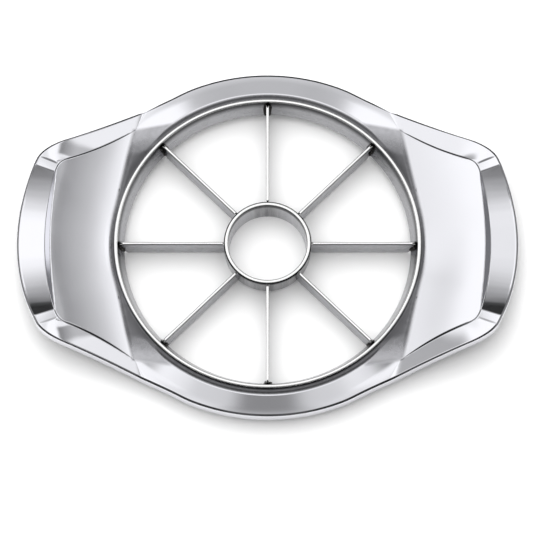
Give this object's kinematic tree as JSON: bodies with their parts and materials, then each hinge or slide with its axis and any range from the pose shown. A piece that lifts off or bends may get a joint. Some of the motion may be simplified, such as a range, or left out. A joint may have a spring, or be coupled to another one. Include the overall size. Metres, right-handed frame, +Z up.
{
  "type": "apple slicer and corer",
  "caption": "Hand-pressed apple slicer: polished cast ring with two wing handles, radial wedge blades and a central coring tube.",
  "frame": {"origin": "middle of the slicer in plan, on the plane of the cutting edges it stands on", "axes": "+X runs out along one wing handle, +Y across the wings towards one long side, +Z up, from the cutting edges towards the thumb pads"},
  "size_m": [0.1672, 0.1212, 0.0131],
  "materials": {
    "polished_cast_metal": "bright polished plating on a die-cast frame",
    "polished_steel": "polished stainless steel pressing",
    "blade_steel": "rolled stainless strip with a ground edge",
    "dark_weld": "dark scaled weld metal"
  },
  "bodies": {
    "root": {"frame": "polished_cast_metal", "blade_hoop": "polished_steel", "core_ring": "polished_steel", "blade_1": "blade_steel", "blade_2": "blade_steel", "blade_3": "blade_steel", "blade_4": "blade_steel", "blade_5": "blade_steel", "blade_6": "blade_steel", "blade_7": "blade_steel", "blade_8": "blade_steel", "weld_1_left": "dark_weld", "weld_1_right": "dark_weld", "weld_2_left": "dark_weld", "weld_2_right": "dark_weld", "weld_3_left": "dark_weld", "weld_3_right": "dark_weld", "weld_4_left": "dark_weld", "weld_4_right": "dark_weld", "weld_5_left": "dark_weld", "weld_5_right": "dark_weld", "weld_6_left": "dark_weld", "weld_6_right": "dark_weld", "weld_7_left": "dark_weld", "weld_7_right": "dark_weld", "weld_8_left": "dark_weld", "weld_8_right": "dark_weld"}
  },
  "joints": []
}
